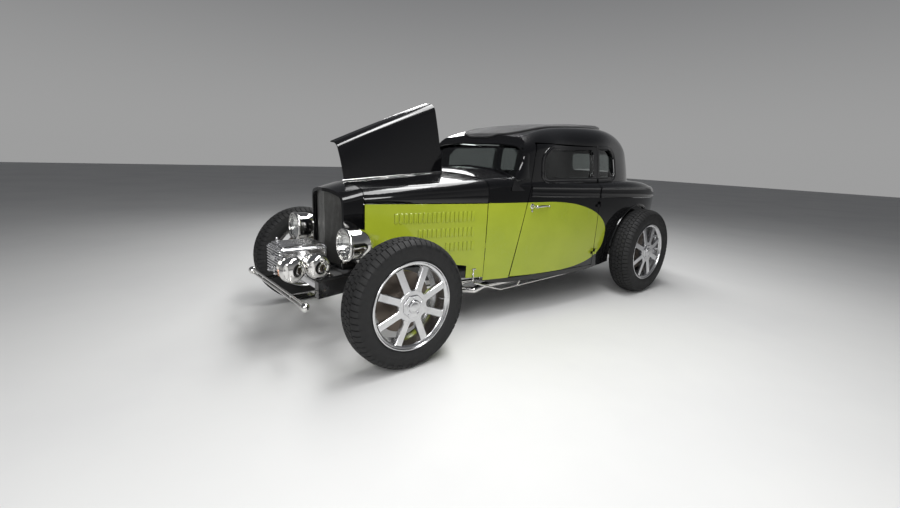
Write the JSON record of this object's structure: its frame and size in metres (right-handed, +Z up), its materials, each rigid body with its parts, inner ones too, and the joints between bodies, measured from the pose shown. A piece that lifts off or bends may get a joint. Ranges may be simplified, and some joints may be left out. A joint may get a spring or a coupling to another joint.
{
  "type": "five-window coupe",
  "caption": "Fenderless vintage-style coupe with dropped front axle, front blower, side-opening hood and rear-hinged doors.",
  "frame": {"origin": "on the ground under the middle of the whole car", "axes": "+Y to the rear of the car, +X to the car's left, +Z up"},
  "size_m": [1.778, 4.286, 1.6796],
  "materials": {
    "tyre": "matt rubber with a chunky shoulder tread",
    "wheel_metal": "polished",
    "disc_iron": "machined faces",
    "chrome": "bright plating",
    "grille_chrome": "bright plating",
    "chassis_black": "semi-gloss black",
    "engine_paint": "satin black",
    "gearbox_alloy": "cast",
    "radiator_black": "matt black",
    "body_paint": "deep gloss black over bright olive green below the side's colour break",
    "window_glass": "clear, lightly tinted",
    "roof_fabric": "matt black fabric",
    "seat_leather": "black",
    "dash_paint": "gloss black",
    "wheel_rim_plastic": "gloss black",
    "blower_alloy": "polished, ribbed",
    "lamp_red": "red lens",
    "plate_black": "satin black"
  },
  "bodies": {
    "root": {"front_axle": "chrome", "chassis_frame": "chassis_black", "front_spring": "chassis_black", "radius_rods": "chrome", "rear_axle": "chassis_black", "rear_suspension": "chassis_black", "engine": "engine_paint", "gearbox": "gearbox_alloy", "radiator_shell": "body_paint", "grille": "grille_chrome", "radiator": "radiator_black", "hood_hinge": "chrome", "hood_sides": "body_paint", "cowl": "body_paint", "cab": "body_paint", "rear_body": "body_paint", "floor_pan": "chassis_black", "fixed_glass": "window_glass", "roof_insert": "roof_fabric", "seat": "seat_leather", "dashboard": "dash_paint", "steering_column": "chrome", "headlamps": "chrome", "blower": "blower_alloy", "intakes": "chrome", "bumper_tubes": "chrome", "exhaust": "chrome", "tail_lamps": "lamp_red", "plate_bracket": "plate_black"},
    "knuckle_left": {"knuckle_l": "chassis_black"},
    "knuckle_right": {"knuckle_r": "chassis_black"},
    "track_rod": {"tie_rod": "chrome"},
    "front_wheel_left": {"tyre_fl": "tyre", "wheel_fl": "wheel_metal", "brake_disc_fl": "disc_iron"},
    "front_wheel_right": {"tyre_fr": "tyre", "wheel_fr": "wheel_metal", "brake_disc_fr": "disc_iron"},
    "rear_wheel_left": {"tyre_rl": "tyre", "wheel_rl": "wheel_metal", "brake_disc_rl": "disc_iron"},
    "rear_wheel_right": {"tyre_rr": "tyre", "wheel_rr": "wheel_metal", "brake_disc_rr": "disc_iron"},
    "hood_left": {"hood_l": "body_paint"},
    "hood_right": {"hood_r": "body_paint"},
    "door_left": {"door_l": "body_paint", "door_glass_l": "window_glass", "door_handle_l": "chrome"},
    "door_right": {"door_r": "body_paint", "door_glass_r": "window_glass", "door_handle_r": "chrome"},
    "boot_lid": {"deck_lid": "body_paint"},
    "steering_hand_wheel": {"steering_wheel": "wheel_rim_plastic"}
  },
  "joints": [
    {"name": "steer_left", "type": "hinge", "parent": "root", "child": "knuckle_left", "pos_m": [0.66, -1.597, 0.4], "axis": [0, 0, 1], "range_deg": [-28, 28]},
    {"name": "steer_right", "type": "hinge", "parent": "root", "child": "knuckle_right", "pos_m": [-0.66, -1.597, 0.4], "axis": [0, 0, 1], "range_deg": [-28, 28]},
    {"name": "track_rod_pivot", "type": "hinge", "parent": "knuckle_left", "child": "track_rod", "pos_m": [0.66, -1.457, 0.25], "axis": [0, 0, 1], "range_deg": [-28, 28]},
    {"name": "steering_turn", "type": "hinge", "parent": "root", "child": "steering_hand_wheel", "pos_m": [0.3, -0.067, 0.985], "axis": [0, 0.9428, 0.3334], "range_deg": [-340, 340]},
    {"name": "front_left_spin", "type": "hinge", "parent": "knuckle_left", "child": "front_wheel_left", "pos_m": [0.888, -1.597, 0.4], "axis": [1, 0, 0], "continuous": true},
    {"name": "front_right_spin", "type": "hinge", "parent": "knuckle_right", "child": "front_wheel_right", "pos_m": [-0.888, -1.597, 0.4], "axis": [1, 0, 0], "continuous": true},
    {"name": "rear_left_spin", "type": "hinge", "parent": "root", "child": "rear_wheel_left", "pos_m": [0.856, 1.248, 0.414], "axis": [1, 0, 0], "continuous": true},
    {"name": "rear_right_spin", "type": "hinge", "parent": "root", "child": "rear_wheel_right", "pos_m": [-0.856, 1.248, 0.414], "axis": [1, 0, 0], "continuous": true},
    {"name": "hood_left_open", "type": "hinge", "parent": "root", "child": "hood_left", "pos_m": [0, -1.591, 1.0754], "axis": [0, -0.9971, -0.0761], "range_deg": [0, 85]},
    {"name": "hood_right_close", "type": "hinge", "parent": "root", "child": "hood_right", "pos_m": [0, -1.591, 1.0754], "axis": [0, -0.9971, -0.0761], "range_deg": [0, 85]},
    {"name": "door_left_open", "type": "hinge", "parent": "root", "child": "door_left", "pos_m": [0.704, 0.541, 0.85], "axis": [0, 0, 1], "range_deg": [0, 65]},
    {"name": "door_right_open", "type": "hinge", "parent": "root", "child": "door_right", "pos_m": [-0.704, 0.541, 0.85], "axis": [0, 0, -1], "range_deg": [0, 65]},
    {"name": "boot_lid_open", "type": "hinge", "parent": "root", "child": "boot_lid", "pos_m": [0, 1.445, 1.102], "axis": [1, 0, 0], "range_deg": [0, 50]}
  ],
  "couplings": [
    {"joint": "steer_right", "follows": "steer_left", "ratio": 1},
    {"joint": "track_rod_pivot", "follows": "steer_left", "ratio": -1},
    {"joint": "steering_turn", "follows": "steer_left", "ratio": 12}
  ]
}
